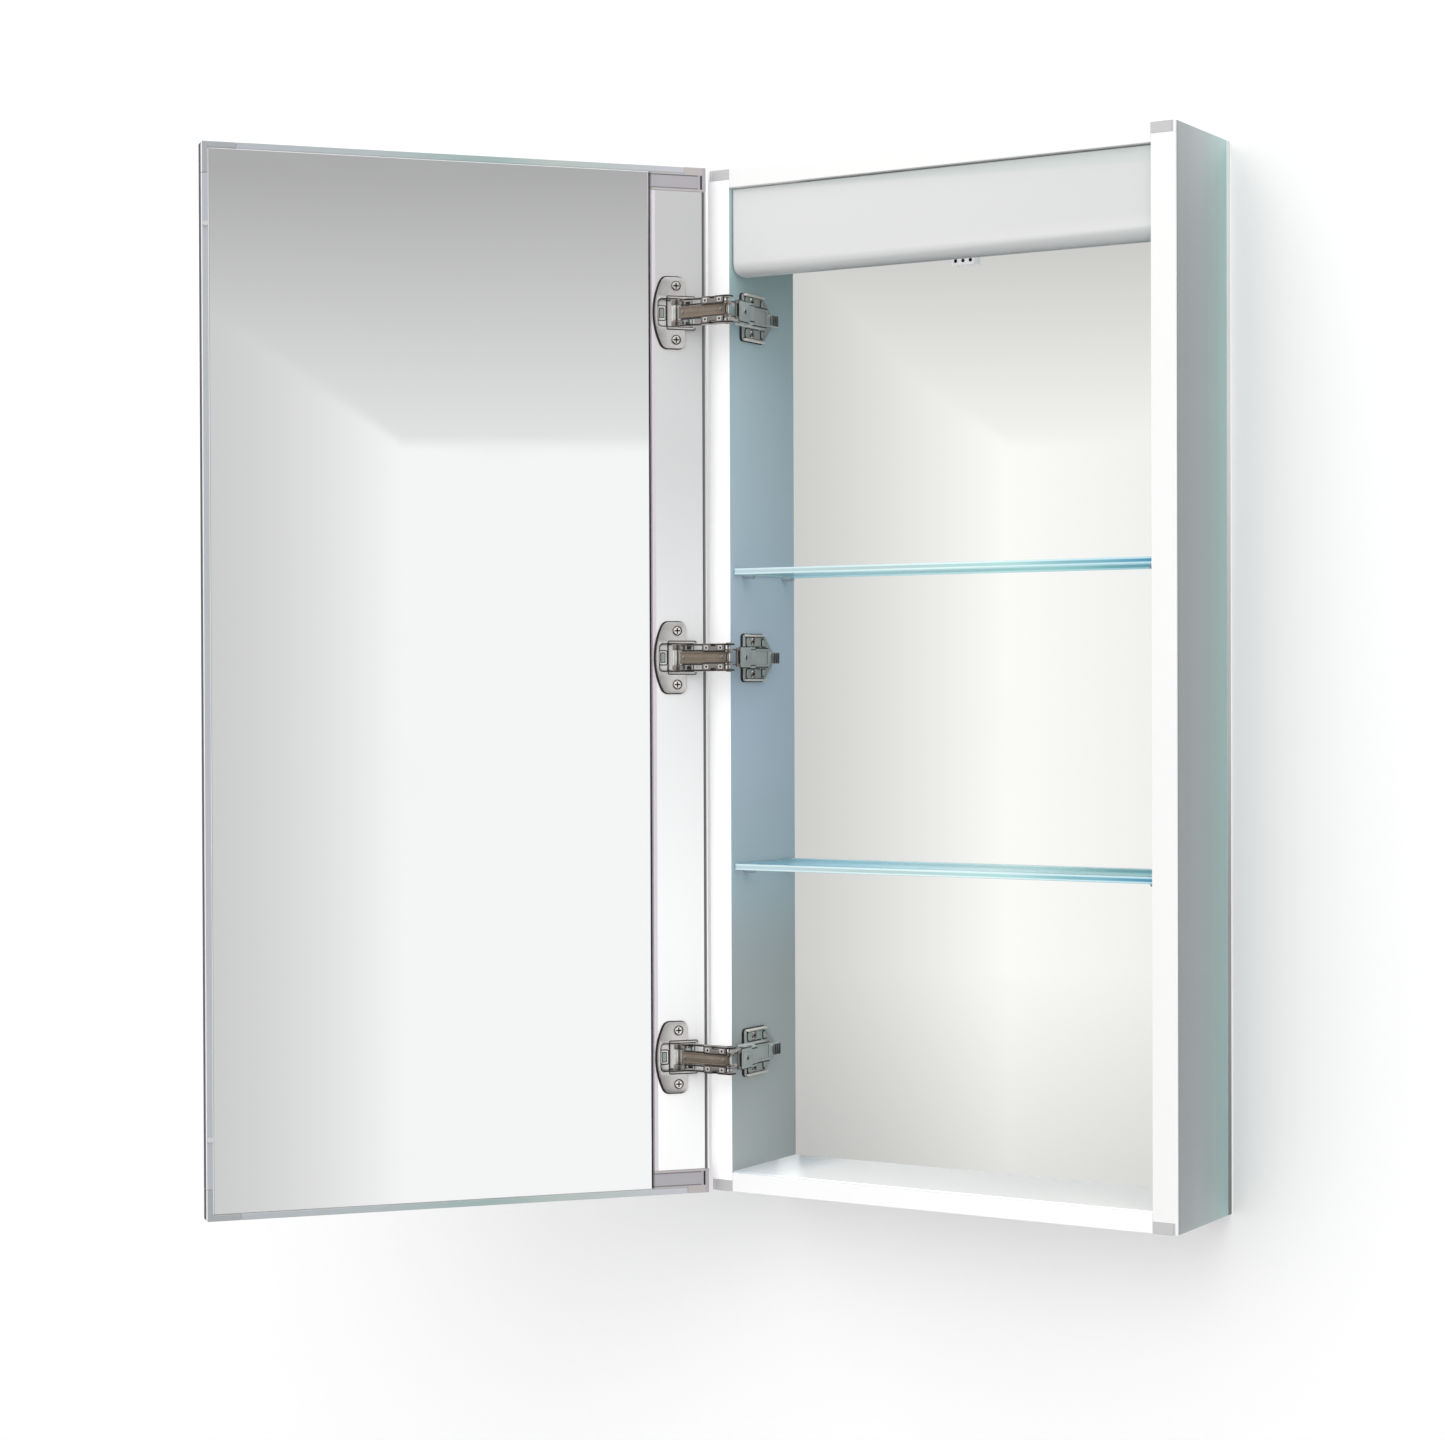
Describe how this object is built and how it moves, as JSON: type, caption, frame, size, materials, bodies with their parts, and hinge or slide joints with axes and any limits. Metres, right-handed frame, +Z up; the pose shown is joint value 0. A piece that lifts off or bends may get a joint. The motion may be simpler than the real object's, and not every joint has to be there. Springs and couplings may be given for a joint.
{
  "type": "medicine cabinet with mirror",
  "caption": "Tall wall-hung medicine cabinet with one mirrored door on concealed side hinges, glass shelves, mirrored back and an electrics box with an outlet at the top.",
  "frame": {"origin": "middle of the back panel's rear face, which lies against the wall", "axes": "+Y into the wall, +Z up, +X to the right as seen from the room"},
  "size_m": [0.6415, 0.4095, 0.787],
  "materials": {
    "frame_white": "satin white powder coat on aluminium profiles",
    "corner_grey": "light grey moulded plastic, fine texture",
    "mirror": "silvered float glass, ground edges",
    "shelf_glass": "clear tempered glass, polished blue-green edges",
    "liner_white": "smooth white",
    "box_plastic": "light grey moulded plastic, satin",
    "outlet_white": "white moulded plastic",
    "sheet_steel": "galvanised sheet",
    "terminal_white": "milky moulded plastic",
    "gland_rubber": "black rubber",
    "lead_grey": "grey sheath",
    "door_frame": "pale grey satin coat on aluminium profiles",
    "hinge_nickel": "satin nickel plate",
    "hinge_bronze": "bronze-toned nickel plate",
    "core_board": "light fibre board",
    "bumper_clear": "milky soft plastic"
  },
  "bodies": {
    "cabinet": {"back_mirror": "mirror", "back_panel": "sheet_steel", "bottom_profile": "frame_white", "cable_gland": "gland_rubber", "corner_cap_bottom_left": "corner_grey", "corner_cap_bottom_right": "corner_grey", "corner_cap_top_left": "corner_grey", "corner_cap_top_right": "corner_grey", "electrics_cover": "box_plastic", "electrics_tray": "sheet_steel", "floor_liner": "liner_white", "hinge_arm_bottom": "hinge_nickel", "hinge_arm_middle": "hinge_nickel", "hinge_arm_top": "hinge_nickel", "hinge_plate_bottom": "hinge_nickel", "hinge_plate_middle": "hinge_nickel", "hinge_plate_top": "hinge_nickel", "outlet": "outlet_white", "outlet_lead": "lead_grey", "shelf_lower": "shelf_glass", "shelf_peg_lower_front_left": "hinge_nickel", "shelf_peg_lower_front_right": "hinge_nickel", "shelf_peg_lower_rear_left": "hinge_nickel", "shelf_peg_lower_rear_right": "hinge_nickel", "shelf_peg_upper_front_left": "hinge_nickel", "shelf_peg_upper_front_right": "hinge_nickel", "shelf_peg_upper_rear_left": "hinge_nickel", "shelf_peg_upper_rear_right": "hinge_nickel", "shelf_upper": "shelf_glass", "side_mirror_left": "mirror", "side_mirror_right": "mirror", "side_profile_left": "frame_white", "side_profile_right": "frame_white", "terminal_block": "terminal_white", "top_profile": "frame_white"},
    "hinge_links": {"hinge_link_bottom": "hinge_nickel", "hinge_link_middle": "hinge_nickel", "hinge_link_top": "hinge_nickel"},
    "hinge_couplers": {"hinge_coupler_bottom": "hinge_bronze", "hinge_coupler_middle": "hinge_bronze", "hinge_coupler_top": "hinge_bronze"},
    "door": {"door_bumper_bottom": "bumper_clear", "door_bumper_top": "bumper_clear", "door_core": "core_board", "door_corner_bottom": "corner_grey", "door_corner_top": "corner_grey", "door_mirror_inner": "mirror", "door_mirror_outer": "mirror", "door_rail_bottom": "door_frame", "door_rail_top": "door_frame", "door_stile_free": "door_frame", "door_stile_hinge": "door_frame", "hinge_cup_bottom": "hinge_nickel", "hinge_cup_middle": "hinge_nickel", "hinge_cup_top": "hinge_nickel", "strip_cap_bottom": "corner_grey", "strip_cap_top": "corner_grey"},
    "release_lever_top": {"hinge_lever_top": "hinge_nickel"},
    "release_lever_middle": {"hinge_lever_middle": "hinge_nickel"},
    "release_lever_bottom": {"hinge_lever_bottom": "hinge_nickel"}
  },
  "joints": [
    {"name": "link_turn", "type": "hinge", "parent": "cabinet", "child": "hinge_links", "pos_m": [-0.1614, -0.09663, 0], "axis": [0, 0, -1], "range_deg": [-99.75, 15.6]},
    {"name": "hinge_fold", "type": "hinge", "parent": "hinge_links", "child": "hinge_couplers", "pos_m": [-0.15858, -0.13061, 0], "axis": [0, 0, -1], "range_deg": [-11.5, 74.75]},
    {"name": "door_swing", "type": "hinge", "parent": "hinge_couplers", "child": "door", "pos_m": [-0.20416, -0.12945, 0], "axis": [0, 0, -1], "range_deg": [-105.6, 16.5]},
    {"name": "release_lever_top_press", "type": "hinge", "parent": "cabinet", "child": "release_lever_top", "pos_m": [-0.1673, -0.06182, 0.2816], "axis": [0, 0, 1], "range_deg": [0, 8], "stiffness_Nm_per_rad": 0.02},
    {"name": "release_lever_middle_press", "type": "hinge", "parent": "cabinet", "child": "release_lever_middle", "pos_m": [-0.1673, -0.06182, 0.018], "axis": [0, 0, 1], "range_deg": [0, 8], "stiffness_Nm_per_rad": 0.02},
    {"name": "release_lever_bottom_press", "type": "hinge", "parent": "cabinet", "child": "release_lever_bottom", "pos_m": [-0.1673, -0.06182, -0.2883], "axis": [0, 0, 1], "range_deg": [0, 8], "stiffness_Nm_per_rad": 0.02}
  ],
  "couplings": [
    {"joint": "link_turn", "follows": "hinge_fold", "ratio": -1.3304},
    {"joint": "door_swing", "follows": "hinge_fold", "ratio": -1.4087}
  ]
}
